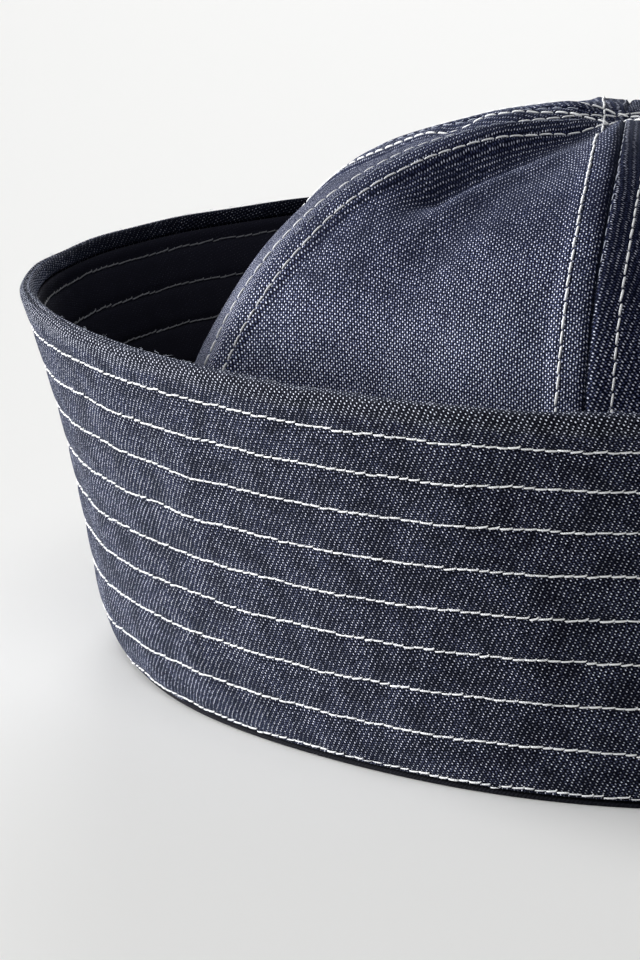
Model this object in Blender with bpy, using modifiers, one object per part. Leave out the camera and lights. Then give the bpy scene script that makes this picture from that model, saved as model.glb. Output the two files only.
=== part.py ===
# Sailor cap: a soft crown of six gores in a tall brim that is turned up all round.
# Metres, +Z up, front towards -Y. The cap stands on its foot; the origin is the bottom centre of its box.
# Azimuths run from the front (0) to the wearer's right side at -X (90), the back (180) and +X (270).
import math
from collections import namedtuple

import bpy
import bmesh
import numpy as np

MM = 0.001

# ---- driving dimensions ----------------------------------------------------------------------
HEAD_AXIS = (-0.05 * MM, -1.25 * MM)            # the crown's axis, beside the middle of the box

# The brim's outer face: radius at the foot, mean outward lean, and how much the lean grows from
# the middle to the top edge. The rows lie evenly round the cap.
Section = namedtuple("Section", "azimuth_deg radius_mm lean_deg flare_deg")
BRIM_SECTIONS = (
    Section(0, 99.3, 11.3, 11.7),
    Section(45, 97.6, 13.8, 11.2),
    Section(90, 86.9, 13.9, 1.0),
    Section(135, 97.7, 10.6, 5.6),
    Section(180, 103.7, 9.7, 3.4),
    Section(225, 92.0, 10.7, 10.5),
    Section(270, 90.3, 11.1, 11.2),
    Section(315, 98.7, 10.9, 10.9),
)
BRIM_WIDTH = 72.5 * MM            # along the slant, from the floor to the top edge
BRIM_RINGS = (1.2, 4.5, 9, 14, 23, 34, 46, 59, 72.5)   # heights along the slant, in mm
BRIM_STEPS = 64

# The foot is tucked in on one side
TUCK_AZIMUTH = math.radians(143)
TUCK_SPREAD = math.radians(28)
TUCK_DEPTH = 3.9 * MM
TUCK_HEIGHT = 14 * MM

PLY = 1.4 * MM                    # each of the brim's two plies
GAP = 0.3 * MM                    # between neighbouring pieces
CROWN_WALL = 1.2 * MM
CROWN_DEPTH = 2 * PLY + 0.8 * MM  # the crown's foot, in from the brim's outer face
CROWN_FOOT = 1.2 * MM             # height of the lowest edge of the crown and the brim
CROWN_HEIGHT = 102 * MM
DOME_POWER = 2.48                 # the dome is a superellipse, fuller than a round one
OVAL_FADE = 1.22                  # how soon the oval of the foot turns round going up

# One row for each seam: where it stands at the foot, and how far it has swerved at the apex
Seam = namedtuple("Seam", "azimuth_deg swerve_deg")
SEAMS = (
    Seam(0, 0),
    Seam(60, -4.5),
    Seam(126.7, 0.8),
    Seam(180, -18.5),
    Seam(240, -4),
    Seam(300, 3),
)
SWERVE_POWER = 6                  # a seam swerves near the apex only
GORE_SAG = 7.1 * MM               # the middle of a gore hangs in from the line of its seams
SAG_SHARE = 0.054                 # and at most about this share of the gore's width there
SAG_POWER = 1.2
SAG_HEIGHT = 55 * MM              # the sag is full from this height up
SEAM_BAND = 7.5 * MM              # raised band on each side of a seam
BAND_SHARE = 0.3                  # and at most this share of the gore's width
BAND_RISE = 0.28                  # share of the band that climbs out of the seam's groove
BAND_FALL = 0.34                  # share of the band that falls to the gore
SEAM_RELIEF = 0.9 * MM
SEAM_FADE = 30 * MM               # the relief is full from this height up
FULL_RELIEF_WIDTH = 30 * MM       # and where the gore is at least this wide
EDGE_COLUMNS = (2.0, 5.0, 7.5)    # mm from a seam, and at most these shares of the gore's width
EDGE_SHARES = (0.08, 0.2, 0.3)
INNER_COLUMNS = 6
CROWN_RINGS = (0, 3, 7, 11, 18, 25, 32, 40, 48, 55, 62, 68, 74, 79, 83.5, 87, 89)   # rise in degrees
TIP_RISE = 89.7
SEAM_TRIM = 0.25 * MM             # cut from each side of a gore
APEX_TRIM = 1.5                   # how much more is cut at the apex, as a share of that
APEX_RADIUS = 20 * MM
WIDEST_TRIM = 0.3                 # radians, so that the tips keep some width

# Dents and folds of the crown, as grooves between two places seen from above; a negative depth
# is a raised fold
Fold = namedtuple("Fold", "azimuth_a_deg radius_a_mm azimuth_b_deg radius_b_mm width_mm depth_mm")
FOLDS = (
    Fold(92, 15, 108, 44, 7.0, 3.2),
    Fold(80, 18, 99, 46, 5.0, -0.9),
    Fold(84, 34, 92, 54, 6.5, 1.3),
    Fold(20, 20, 32, 52, 8.0, 1.4),
    Fold(172, 36, 164, 50, 8.0, 0.6),
    Fold(196, 12, 216, 22, 7.0, -1.4),
    Fold(206, 42, 200, 60, 8.0, 1.8),
    Fold(232, 18, 238, 36, 6.0, 1.0),
    Fold(262, 16, 280, 48, 8.0, 2.4),
    Fold(332, 20, 322, 50, 8.0, 1.6),
)
APEX_DIP = 2.0 * MM               # the topstitching pulls the apex down
APEX_SPREAD = 6 * MM

# The band inside the head opening turns out under the cap as a thin flat foot
BAND_THICKNESS = 0.9 * MM
BAND_RINGS = (0, 3, 7, 11)        # rise in degrees, up the inside of the crown
BAND_GAP = 1.0 * MM               # from the crown's inside to the middle of the band
FOOT_INSET = 0.5 * MM

CROWN_COLOUR = (0.052, 0.060, 0.118)
BRIM_COLOUR = (0.030, 0.037, 0.072)
FACING_COLOUR = (0.016, 0.021, 0.040)
BAND_COLOUR = (0.010, 0.010, 0.012)
CLOTH_ROUGHNESS = 0.9


# ---- shape functions -------------------------------------------------------------------------
def around(column, azimuth):
    """A smooth closed curve through one column of the brim's sections."""
    values = [getattr(section, column) for section in BRIM_SECTIONS]
    count = len(values)
    terms = np.fft.rfft(values) / count
    total = terms[0].real + terms[-1].real * math.cos(count // 2 * azimuth)
    for turn in range(1, count // 2):
        wave = terms[turn]
        total += 2 * (wave.real * math.cos(turn * azimuth) - wave.imag * math.sin(turn * azimuth))
    return total


def smooth(t):
    t = min(max(t, 0.0), 1.0)
    return t * t * (3 - 2 * t)


def in_plan(radius, azimuth):
    """Seen from above, beside the crown's axis."""
    return -radius * math.sin(azimuth), -radius * math.cos(azimuth)


def place(radius, azimuth, height):
    x, y = in_plan(radius, azimuth)
    return HEAD_AXIS[0] + x, HEAD_AXIS[1] + y, height


def tuck(azimuth):
    turn = (azimuth - TUCK_AZIMUTH + math.pi) % math.tau - math.pi
    return TUCK_DEPTH * math.exp(-(turn / TUCK_SPREAD) ** 2)


def foot_radius(azimuth):
    """Outer radius of the cap where it stands."""
    return around("radius_mm", azimuth) * MM - tuck(azimuth)


def brim_point(azimuth, slant, depth):
    """A point of the brim: slant is measured up its outer face, depth inwards from it."""
    lean = math.radians(around("lean_deg", azimuth))
    flare = math.radians(around("flare_deg", azimuth))
    bend = 2 * flare / BRIM_WIDTH
    low = lean - flare
    here = low + bend * slant
    out = (math.cos(low) - math.cos(here)) / bend
    up = (math.sin(here) - math.sin(low)) / bend
    settle = tuck(azimuth) * (1 - max(0.0, 1 - slant / TUCK_HEIGHT) ** 2)
    radius = foot_radius(azimuth) + settle + out - depth * math.cos(here)
    return place(radius, azimuth, up + depth * math.sin(here))


MEAN_FOOT = sum(foot_radius(math.tau * step / 72) for step in range(72)) / 72 - CROWN_DEPTH


def seam_azimuth(seam, rise):
    turns, index = divmod(seam, len(SEAMS))
    azimuth, swerve = SEAMS[index]
    return math.radians(azimuth + 360 * turns + swerve * math.sin(rise) ** SWERVE_POWER)


def dome(azimuth, rise):
    """Radius and height of the smooth dome that the gores are cut for."""
    foot = foot_radius(azimuth) - CROWN_DEPTH
    reach = MEAN_FOOT + (foot - MEAN_FOOT) * math.cos(rise) ** OVAL_FADE
    radius = reach * math.cos(rise) ** (2 / DOME_POWER)
    return radius, CROWN_FOOT + (CROWN_HEIGHT - CROWN_FOOT) * math.sin(rise) ** (2 / DOME_POWER)


def fold_depth(x, y):
    """How deep the apex and the folds lie at a place seen from above, beside the crown's axis."""
    total = APEX_DIP * math.exp(-(math.hypot(x, y) / APEX_SPREAD) ** 2)
    for fold in FOLDS:
        ax, ay = in_plan(fold.radius_a_mm * MM, math.radians(fold.azimuth_a_deg))
        bx, by = in_plan(fold.radius_b_mm * MM, math.radians(fold.azimuth_b_deg))
        along = ((x - ax) * (bx - ax) + (y - ay) * (by - ay)) / ((bx - ax) ** 2 + (by - ay) ** 2)
        along = min(max(along, 0.0), 1.0)
        away = math.hypot(x - ax - along * (bx - ax), y - ay - along * (by - ay)) / (fold.width_mm * MM)
        total += fold.depth_mm * MM * math.exp(-away * away)
    return total


def seam_relief(distance, width, height):
    """The raised bands beside a seam, with the groove of the seam between them."""
    share = distance / min(SEAM_BAND, BAND_SHARE * width)
    shape = smooth(share / BAND_RISE) * (1 - smooth((share - 1 + BAND_FALL) / BAND_FALL))
    shape *= smooth(width / FULL_RELIEF_WIDTH) * smooth((height - CROWN_FOOT) / SEAM_FADE)
    return SEAM_RELIEF * shape


def gore_point(gore, across, rise, depth=0.0):
    """A point of a gore: across runs from 0 at its first seam to 1 at its second."""
    first, second = seam_azimuth(gore, rise), seam_azimuth(gore + 1, rise)
    middle_radius, _ = dome((first + second) / 2, rise)
    trim = SEAM_TRIM * (1 + APEX_TRIM * smooth(1 - middle_radius / APEX_RADIUS))
    trim = min(trim / max(middle_radius, MM), WIDEST_TRIM)
    azimuth = first + trim + across * (second - first - 2 * trim)
    radius, height = dome(azimuth, rise)
    width = max(radius * (second - first), 0.1 * MM)
    sag = GORE_SAG * math.sqrt(math.sin(2 * rise)) * smooth(height / SAG_HEIGHT)
    sag /= math.hypot(1, sag / (SAG_SHARE * width))
    sag *= max(math.sin(math.pi * across), 0.0) ** SAG_POWER
    lift = seam_relief(min(across, 1 - across) * width, width, height) - sag - depth
    spot = place(radius, azimuth, height)
    lift -= fold_depth(spot[0] - HEAD_AXIS[0], spot[1] - HEAD_AXIS[1])
    return place(radius + lift * math.cos(rise), azimuth, height + lift * math.sin(rise))


def gore_columns(gore, rise):
    """Where the points lie across a gore: close beside the seams, wide between them."""
    first, second = seam_azimuth(gore, rise), seam_azimuth(gore + 1, rise)
    width = dome((first + second) / 2, rise)[0] * (second - first)
    edge = [min(distance * MM / width, share) for distance, share in zip(EDGE_COLUMNS, EDGE_SHARES)]
    between = (1 - 2 * edge[-1]) / (INNER_COLUMNS - 1)
    inner = [edge[-1] + between * step for step in range(1, INNER_COLUMNS - 1)]
    return [0.0] + edge + inner + [1 - share for share in reversed(edge)] + [1.0]


# ---- building --------------------------------------------------------------------------------
def clear_scene():
    for thing in list(bpy.data.objects):
        bpy.data.objects.remove(thing, do_unlink=True)


def make_material(name, colour):
    material = bpy.data.materials.new(name)
    material.use_nodes = True
    shader = material.node_tree.nodes["Principled BSDF"]
    shader.inputs["Base Color"].default_value = (*colour, 1)
    shader.inputs["Roughness"].default_value = CLOTH_ROUGHNESS
    shader.inputs["Metallic"].default_value = 0
    material.diffuse_color = (*colour, 1)
    return material


def cloth(name, rings, thickness, offset, colour, collection, closed, tip=None):
    """An open surface lofted through rings of points, given its wall with Solidify."""
    shell = bmesh.new()
    grid = [[shell.verts.new(point) for point in ring] for ring in rings]
    count = len(grid[0])
    for low, high in zip(grid, grid[1:]):
        for step in range(count if closed else count - 1):
            after = (step + 1) % count
            shell.faces.new((low[step], high[step], high[after], low[after]))
    if tip:
        top = shell.verts.new(tip)
        for left, right in zip(grid[-1], grid[-1][1:]):
            shell.faces.new((left, top, right))
    mesh = bpy.data.meshes.new(name)
    shell.to_mesh(mesh)
    shell.free()
    mesh.materials.append(make_material(name, colour))
    thing = bpy.data.objects.new(name, mesh)
    collection.objects.link(thing)
    wall = thing.modifiers.new("wall", "SOLIDIFY")
    wall.thickness = thickness
    wall.offset = offset
    wall.use_even_offset = True
    mesh.shade_smooth()
    mesh.set_sharp_from_angle(angle=math.radians(40))
    return thing


def add_brim(collection):
    """Two plies: the outer one, and the facing that lines the inside of the upturned brim."""
    for name, depth, colour in (("brim_outer", PLY / 2, BRIM_COLOUR),
                                ("brim_facing", PLY * 1.5 + GAP, FACING_COLOUR)):
        rings = [[brim_point(math.tau * step / BRIM_STEPS, slant * MM, depth) for step in range(BRIM_STEPS)]
                 for slant in BRIM_RINGS]
        cloth(name, rings, PLY, 0, colour, collection, closed=True)


def add_crown(collection):
    for gore in range(len(SEAMS)):
        rings = []
        for degrees in CROWN_RINGS:
            rise = math.radians(degrees)
            rings.append([gore_point(gore, across, rise) for across in gore_columns(gore, rise)])
        tip = gore_point(gore, 0.5, math.radians(TIP_RISE))
        name = f"crown_gore_{gore + 1}"
        cloth(name, rings, CROWN_WALL, -1, CROWN_COLOUR, collection, closed=False, tip=tip)


def add_sweatband(collection):
    """A band inside the crown; its lower edge turns out under the cap and carries it."""
    wall_depth = CROWN_WALL + BAND_GAP
    columns = [(gore, across) for gore in range(len(SEAMS)) for across in gore_columns(gore, 0.0)[:-1]]
    foot_depths = (FOOT_INSET, CROWN_DEPTH, CROWN_DEPTH + wall_depth)
    rings = [[] for _ in foot_depths]
    for gore, across in columns:
        x, y, _ = gore_point(gore, across, 0.0)
        azimuth = math.atan2(HEAD_AXIS[0] - x, HEAD_AXIS[1] - y)
        for ring, depth in zip(rings, foot_depths):
            ring.append(place(foot_radius(azimuth) - depth, azimuth, BAND_THICKNESS / 2))
    for rise in BAND_RINGS:
        rings.append([gore_point(gore, across, math.radians(rise), wall_depth) for gore, across in columns])
    cloth("sweatband", rings, BAND_THICKNESS, 0, BAND_COLOUR, collection, closed=True)


def main():
    clear_scene()
    collection = bpy.data.collections.new("sailor_cap")
    bpy.context.scene.collection.children.link(collection)
    add_sweatband(collection)
    add_crown(collection)
    add_brim(collection)


main()
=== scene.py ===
import math
import bpy
import numpy as np
from mathutils import Matrix, Vector


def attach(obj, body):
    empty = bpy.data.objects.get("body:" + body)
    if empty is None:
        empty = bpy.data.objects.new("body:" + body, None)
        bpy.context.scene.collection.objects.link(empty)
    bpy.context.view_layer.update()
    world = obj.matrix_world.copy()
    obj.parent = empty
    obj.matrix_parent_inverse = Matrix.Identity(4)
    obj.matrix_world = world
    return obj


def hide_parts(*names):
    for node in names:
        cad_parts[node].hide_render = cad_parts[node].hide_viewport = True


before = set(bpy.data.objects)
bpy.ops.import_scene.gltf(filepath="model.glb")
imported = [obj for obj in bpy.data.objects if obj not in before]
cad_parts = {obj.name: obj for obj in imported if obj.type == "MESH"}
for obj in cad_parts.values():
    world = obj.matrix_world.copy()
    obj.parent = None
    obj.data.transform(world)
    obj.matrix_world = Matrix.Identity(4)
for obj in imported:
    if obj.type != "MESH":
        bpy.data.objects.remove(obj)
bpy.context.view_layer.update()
print("frame loaded, solids:", sorted(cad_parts))

# Lengths are in millimetres until a mesh is made. Azimuths run from the front of the cap (0)
# to the wearer's right (90), the back (180) and the wearer's left (270).
mm = 0.001
headAxis = np.array((-0.05, -1.25))  # the crown's axis, seen from above


# the camera, in mm and degrees
photo = {
    "distance": 660.0,  # level, from the crown's axis
    "height": 199.7,
    "azimuth": 54.4,  # the side of the cap that faces the camera
    "pan": -49.336,
    "tilt": 75.843,
    "roll": -1.983,
    "lens": 135.18,
    "sensor": 36.0,
}


def makeCamera():
    data = bpy.data.cameras.new("photoCamera")
    data.lens = photo["lens"]
    data.sensor_width = photo["sensor"]
    data.clip_start = 0.01
    data.clip_end = 50
    camera = bpy.data.objects.new("photoCamera", data)
    bpy.context.scene.collection.objects.link(camera)
    turn = math.radians(photo["azimuth"])
    spot = (headAxis[0] - photo["distance"] * math.sin(turn),
            headAxis[1] - photo["distance"] * math.cos(turn), photo["height"])
    rotation = (Matrix.Rotation(math.radians(photo["pan"]), 4, "Z")
                @ Matrix.Rotation(math.radians(photo["tilt"]), 4, "X")
                @ Matrix.Rotation(math.radians(photo["roll"]), 4, "Z"))
    camera.matrix_world = Matrix.Translation([value * mm for value in spot]) @ rotation
    bpy.context.scene.camera = camera


class Wire:
    # an output socket in a material; arithmetic on wires and numbers adds Math nodes
    def __init__(self, finish, socket):
        self.finish = finish
        self.socket = socket

    def math(self, operation, *values):
        return self.finish.add("Math", {"operation": operation}, values)

    def __add__(self, other):
        return self.math("ADD", self, other)

    def __sub__(self, other):
        return self.math("SUBTRACT", self, other)

    def __rsub__(self, other):
        return self.math("SUBTRACT", other, self)

    def __mul__(self, other):
        return self.math("MULTIPLY", self, other)

    def __pow__(self, other):
        return self.math("POWER", self, other)

    def floor(self):
        return self.math("FLOOR", self)

    def cosine(self):
        return self.math("COSINE", self)

    def absolute(self):
        return self.math("ABSOLUTE", self)

    def pingPong(self, other):
        return self.math("PINGPONG", self, other)

    def atMost(self, other):
        return self.math("MINIMUM", self, other)

    __radd__ = __add__
    __rmul__ = __mul__


class Finish:
    # a material, built from a Principled shader whose fixed values are set on its own sockets
    def __init__(self, name, fixed):
        self.material = bpy.data.materials.new(name)
        self.material.use_nodes = True
        self.tree = self.material.node_tree
        self.shader = self.tree.nodes["Principled BSDF"]
        for socket, value in fixed.items():
            self.shader.inputs[socket].default_value = value

    def plug(self, value, socket):
        if isinstance(value, Wire):
            self.tree.links.new(value.socket, socket)
        else:
            socket.default_value = value

    def add(self, kind, settings=None, inputs=(), output=0):
        node = self.tree.nodes.new("ShaderNode" + kind)
        for key, value in (settings or {}).items():
            setattr(node, key, value)
        pairs = inputs.items() if isinstance(inputs, dict) else enumerate(inputs)
        for key, value in pairs:
            self.plug(value, node.inputs[key])
        return Wire(self, node.outputs[output])

    def feed(self, socket, wire):
        self.plug(wire, self.shader.inputs[socket])

    def dot(self, wire, vector):
        return self.add("VectorMath", {"operation": "DOT_PRODUCT"}, (wire, vector), "Value")

    def noise(self, spot, scale, detail, roughness=0.5, output="Fac"):
        return self.add("TexNoise", {"noise_dimensions": "2D"},
                        {"Vector": spot, "Scale": scale, "Detail": detail, "Roughness": roughness}, output)

    def mixColour(self, factor, low, high):
        return self.add("Mix", {"data_type": "RGBA"}, {0: factor, 6: low, 7: high}, 2)

    def smoothRange(self, wire, low, high):
        return self.add("MapRange", {"interpolation_type": "SMOOTHSTEP"}, {0: wire, 1: low, 2: high})

    def bump(self, height, strength, distance):
        self.feed("Normal", self.add("Bump", None, {"Strength": strength, "Distance": distance,
                                                     "Height": height}))


# what all the denim shares; scales are in turns per mm
denim = {
    "roughness": 0.9, "specular": 0.05,
    "sheenRoughness": 0.45, "sheenTint": (0.42, 0.55, 0.95),
    "drift": 0.22, "driftScale": 0.22,  # how far the yarns wander, in mm
    "stray": 0.35,  # how far a crossing is off its place, in yarns
    "endVariety": 0.4,  # how the flecks differ from one warp yarn to the next
    "patchScale": 0.16, "patchRange": (0.32, 0.68), "patchLevel": 0.9,
    "fuzzScale": 2.6, "hairRange": (0.45, 0.85),
    "wearAndShadingGain": 0.55, "rubbedRange": (0.3, 1.5),
    "yarnRise": 0.6, "fleckRise": 0.4, "fuzzRise": 0.3, "bump": 0.5, "relief": 0.08,
}
# a plain weave with a fleck of white weft on every second crossing. The flecks lie in two sets of lines,
# given as waves in turns per mm, and the yarns are counted along their sum and their difference. Flecks
# and yarns fade between two shares of half a yarn's width.
# gap is the colour between the yarns, near black: painted shade in the hollows of the weave
crownDenim = {
    **denim,
    "waves": ((-0.84, -1.493), (0.824, -0.647)),
    "fleckAcross": (0.11, 0.86), "fleckAlong": (0.14, 0.5), "yarnShape": (0.30, 0.67),
    "gap": (0.0024, 0.0036, 0.0130),
    "warp": (0.078, 0.092, 0.190), "rubbedWarp": (0.085, 0.101, 0.196),
    "fleck": (0.80, 0.83, 1.0),
    "fleckLeast": 0.17, "fleckPower": 0.85, "fleckGain": 1.44,
    "warpLevel": 0.78, "warpVariety": 0.15, "bare": 0.12,
    "hair": 0.045, "mottle": 0.6,
    "sheen": 0.055,
}
brimDenim = {
    **denim,
    "waves": ((1.057, -0.490), (-0.459, -1.591)),
    "fleckAcross": (0.2, 0.7), "fleckAlong": (0.2, 0.44), "yarnShape": (0.28, 0.66),
    "gap": (0.0010, 0.0013, 0.0042),
    "warp": (0.078, 0.091, 0.178), "rubbedWarp": (0.104, 0.114, 0.156),
    "fleck": (0.82, 0.845, 0.98),
    "fleckLeast": 0.16, "fleckPower": 1.55, "fleckGain": 1.62,
    "warpLevel": 0.54, "warpVariety": 0.2, "bare": 0.45,
    "hair": 0.2, "mottle": 1.05,
    "sheen": 0.08,
}
# the facing's colours are far darker than the brim's: partly a darker cloth, partly painted shade, for it
# lies in the shade inside the brim
facingDenim = dict(brimDenim, gap=(0.014, 0.0143, 0.0225), warp=(0.05, 0.051, 0.078),
                   fleck=(0.085, 0.087, 0.11), sheen=0.0)


def makeDenim(name, cloth):
    finish = Finish(name, {
        "Roughness": cloth["roughness"], "Specular IOR Level": cloth["specular"],
        "Sheen Weight": cloth["sheen"], "Sheen Roughness": cloth["sheenRoughness"],
        "Sheen Tint": (*cloth["sheenTint"], 1)})
    flat = finish.add("UVMap", {"uv_map": "weave"}, (), "UV")
    # wearAndShading holds the cloth's real wear together with painted light and painted shade
    wearAndShading = finish.add("Attribute", {"attribute_name": "wearAndShading"}, (), "Fac")
    drift = finish.noise(flat, cloth["driftScale"], detail=2.0, roughness=0.6, output="Color")
    drift = finish.add("VectorMath", {"operation": "SUBTRACT"}, (drift, (0.5, 0.5, 0.5)))
    spot = finish.add("VectorMath", {"operation": "MULTIPLY_ADD"},
                      (drift, (cloth["drift"], cloth["drift"], 0.0), flat))

    # the crossings of the yarns: each is a cell of the grid that end and pick count
    waveA, waveB = np.array(cloth["waves"])
    end, pick = (finish.dot(spot, (*wave.tolist(), 0)) for wave in (waveA + waveB, waveA - waveB))
    endNumber, pickNumber = end.floor(), pick.floor()
    cell = finish.add("CombineXYZ", None, (endNumber, pickNumber, 0.0))
    chance = finish.add("TexWhiteNoise", {"noise_dimensions": "2D"}, {"Vector": cell}, "Value")
    other = finish.add("TexWhiteNoise", {"noise_dimensions": "2D"}, {"Vector": cell}, "Color")
    shiftA, shiftB, variety = (finish.add("SeparateXYZ", None, (other,), axis) for axis in "XYZ")
    across = ((end - endNumber - 0.5 + (shiftA - 0.5) * cloth["stray"]) * 2.0).absolute()
    along = ((pick - pickNumber - 0.5 + (shiftB - 0.5) * cloth["stray"]) * 2.0).absolute()
    weft = 1 - (endNumber + pickNumber).pingPong(1.0)
    fleck = 1 - finish.smoothRange(across, *cloth["fleckAcross"])
    fleck = fleck * (1 - finish.smoothRange(along, *cloth["fleckAlong"]))
    yarn = 1 - finish.smoothRange(across, *cloth["yarnShape"])
    yarn = yarn * (1 - finish.smoothRange(along, *cloth["yarnShape"]))

    # patches of paler cloth, and the fine hair of the yarns
    strand = finish.add("TexWhiteNoise", {"noise_dimensions": "1D"}, {"W": endNumber}, "Value")
    strand = 1 - cloth["endVariety"] / 2 + strand * cloth["endVariety"]
    patch = finish.noise(spot, cloth["patchScale"], detail=3.0, roughness=0.65)
    patch = finish.smoothRange(patch, *cloth["patchRange"])
    patch = cloth["patchLevel"] + (patch - 0.5) * cloth["mottle"]
    fuzz = finish.noise(spot, cloth["fuzzScale"], detail=2.0, roughness=0.7)
    hair = finish.smoothRange(fuzz, *cloth["hairRange"]) * cloth["hair"]

    # flecks and yarns turn paler or darker with it: the rubbed top of the brim, painted highlights and
    # painted shade
    strength = cloth["fleckLeast"] + (chance ** cloth["fleckPower"]) * patch * strand
    fleck = (fleck * weft * strength * (1 + wearAndShading) * cloth["fleckGain"]).atMost(1.0)
    level = (1 - variety * cloth["warpVariety"]) * cloth["warpLevel"]
    body = (yarn * level + hair * (1 + wearAndShading)) * patch
    body = (body * (1 + wearAndShading * (cloth["wearAndShadingGain"] - wearAndShading * cloth["bare"]))).atMost(1.0)
    # the warp greys where the value is high, on the rubbed top of the brim and under painted light on the
    # crown
    rubbedAndShading = finish.smoothRange(wearAndShading, *cloth["rubbedRange"])
    warp = finish.mixColour(rubbedAndShading, (*cloth["warp"], 1), (*cloth["rubbedWarp"], 1))
    # where there is no yarn the colour falls to gap: painted shade between the yarns
    colour = finish.mixColour(body, (*cloth["gap"], 1), warp)
    colour = finish.mixColour(fleck, colour, (*cloth["fleck"], 1))
    finish.feed("Base Color", colour)
    height = yarn * cloth["yarnRise"] + fleck * cloth["fleckRise"] + fuzz * cloth["fuzzRise"]
    finish.bump(height, cloth["bump"], cloth["relief"] * mm)
    return finish.material


# twist: the length of one turn of the thread's strands
thread = {"roughness": 0.65, "specular": 0.3, "sheen": 0.1, "twist": 0.42, "fuzzScale": 1.3,
          "leastLight": 0.4, "strandLight": 0.45, "fuzzLight": 0.5, "bump": 0.5, "relief": 0.05}
whiteLook = dict(thread, colour=(0.96, 0.97, 0.98), shade=(0.74, 0.76, 0.82))
# the facing's stitches are the same white thread, drawn grey: painted shade, for they lie in the shade
# inside the brim
shadedWhiteLook = dict(thread, colour=(0.17, 0.175, 0.19), shade=(0.10, 0.105, 0.12))
paleLook = dict(thread, colour=(0.50, 0.54, 0.64), shade=(0.26, 0.28, 0.36))


def makeThread(name, look):
    finish = Finish(name, {"Roughness": look["roughness"], "Specular IOR Level": look["specular"],
                           "Sheen Weight": look["sheen"]})
    spot = finish.add("UVMap", {"uv_map": "weave"}, (), "UV")
    wind = finish.dot(spot, (math.tau / look["twist"], math.tau, 0))
    strand = 0.5 + wind.cosine() * 0.5
    fuzz = finish.noise(spot, look["fuzzScale"], detail=2.0)
    # the colour runs from shade to the thread's own colour: painted shade between the twisted strands, with
    # random tone from the fuzz
    light = (look["leastLight"] + strand * look["strandLight"] + fuzz * look["fuzzLight"]).atMost(1.0)
    finish.feed("Base Color", finish.mixColour(light, (*look["shade"], 1), (*look["colour"], 1)))
    finish.bump(strand, look["bump"], look["relief"] * mm)
    return finish.material


tapeLook = {"roughness": 0.85, "specular": 0.1,
            "colour": (0.003, 0.003, 0.006), "rib": (0.020, 0.021, 0.030), "pitch": 0.8,
            "fuzzScale": 1.5, "fuzzRise": 0.5, "bump": 0.5, "relief": 0.1}


def makeTape(name, look):
    # slanting ribs
    finish = Finish(name, {"Roughness": look["roughness"], "Specular IOR Level": look["specular"]})
    spot = finish.add("UVMap", {"uv_map": "weave"}, (), "UV")
    step = math.tau / look["pitch"]
    rib = 0.5 + finish.dot(spot, (step, step, 0)).cosine() * 0.5
    fuzz = finish.noise(spot, look["fuzzScale"], detail=3.0)
    finish.feed("Base Color", finish.mixColour(rib * fuzz, (*look["colour"], 1), (*look["rib"], 1)))
    finish.bump(rib + fuzz * look["fuzzRise"], look["bump"], look["relief"] * mm)
    return finish.material


def smooth(share):
    share = np.clip(share, 0.0, 1.0)
    return share * share * (3 - 2 * share)


def bell(offset, width):
    return np.exp(-(offset / width) ** 2)


def turnFrom(azimuth, degrees):
    # the turn from a place given in degrees, the short way round
    return (azimuth - math.radians(degrees) + math.pi) % math.tau - math.pi


def runAlong(path):
    # the length of a path up to each of its points
    return np.concatenate(((0.0,), np.cumsum(np.linalg.norm(np.diff(path, axis=0), axis=1))))


def around(values, azimuth):
    # a smooth closed curve through values that lie evenly round the cap
    terms = np.fft.rfft(values) / len(values)
    half = len(values) // 2
    total = terms[0].real + terms[half].real * np.cos(half * azimuth)
    for turn in range(1, half):
        wave = terms[turn]
        total = total + 2 * (wave.real * np.cos(turn * azimuth) - wave.imag * np.sin(turn * azimuth))
    return total


def place(radius, azimuth, height):
    radius, azimuth, height = np.broadcast_arrays(radius, azimuth, height)
    x, y = headAxis[0] - radius * np.sin(azimuth), headAxis[1] - radius * np.cos(azimuth)
    return np.stack((x, y, height), -1)


def unit(vectors):
    return vectors / np.maximum(np.linalg.norm(vectors, axis=-1, keepdims=True), 1e-9)


def ripple(seed, turns, azimuth, waves=0.0, height=0.0, size=1.0):
    # soft waves that close round the cap: turns are counts per turn, waves are counts per size mm
    rng = np.random.default_rng(seed)
    total, count = 0.0, 9
    for _ in range(count):
        turn = rng.integers(turns[0], turns[1] + 1)
        wave = rng.uniform(-waves, waves)
        total = total + np.sin(turn * azimuth + math.tau * wave * height / size + rng.uniform(0, math.tau))
    return total / math.sqrt(count)


def meshFrom(name, points, faces, uv, material, wearAndShading=None):
    mesh = bpy.data.meshes.new(name)
    mesh.from_pydata((points * mm).tolist(), [], faces)
    if wearAndShading is not None:
        rubbedAndShading = mesh.attributes.new("wearAndShading", "FLOAT", "POINT")
        rubbedAndShading.data.foreach_set("value", wearAndShading.astype(np.float32).ravel())
    layer = mesh.uv_layers.new(name="weave")
    layer.data.foreach_set("uv", np.ascontiguousarray(uv, dtype=np.float32).ravel())
    mesh.materials.append(material)
    mesh.shade_smooth()
    piece = bpy.data.objects.new(name, mesh)
    bpy.context.scene.collection.objects.link(piece)
    return piece


def loft(name, points, uv, material, closedAcross=False, closedAlong=False, wearAndShading=None):
    # points are rings x columns x 3; uv has one more ring or column where the loft closes
    rings, columns = points.shape[:2]
    ring = np.arange(rings if closedAlong else rings - 1)[:, None]
    column = np.arange(columns if closedAcross else columns - 1)[None]
    corners = [(ring, column), (ring + 1, column), (ring + 1, column + 1), (ring, column + 1)]
    faces = np.stack([np.broadcast_to((r % rings) * columns + c % columns, (ring.size, column.size))
                      for r, c in corners], -1).reshape(-1, 4)
    corner = np.stack([uv[r, c] for r, c in corners], -2)
    return meshFrom(name, points.reshape(-1, 3), faces.tolist(), corner.reshape(-1, 2), material, wearAndShading)


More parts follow.
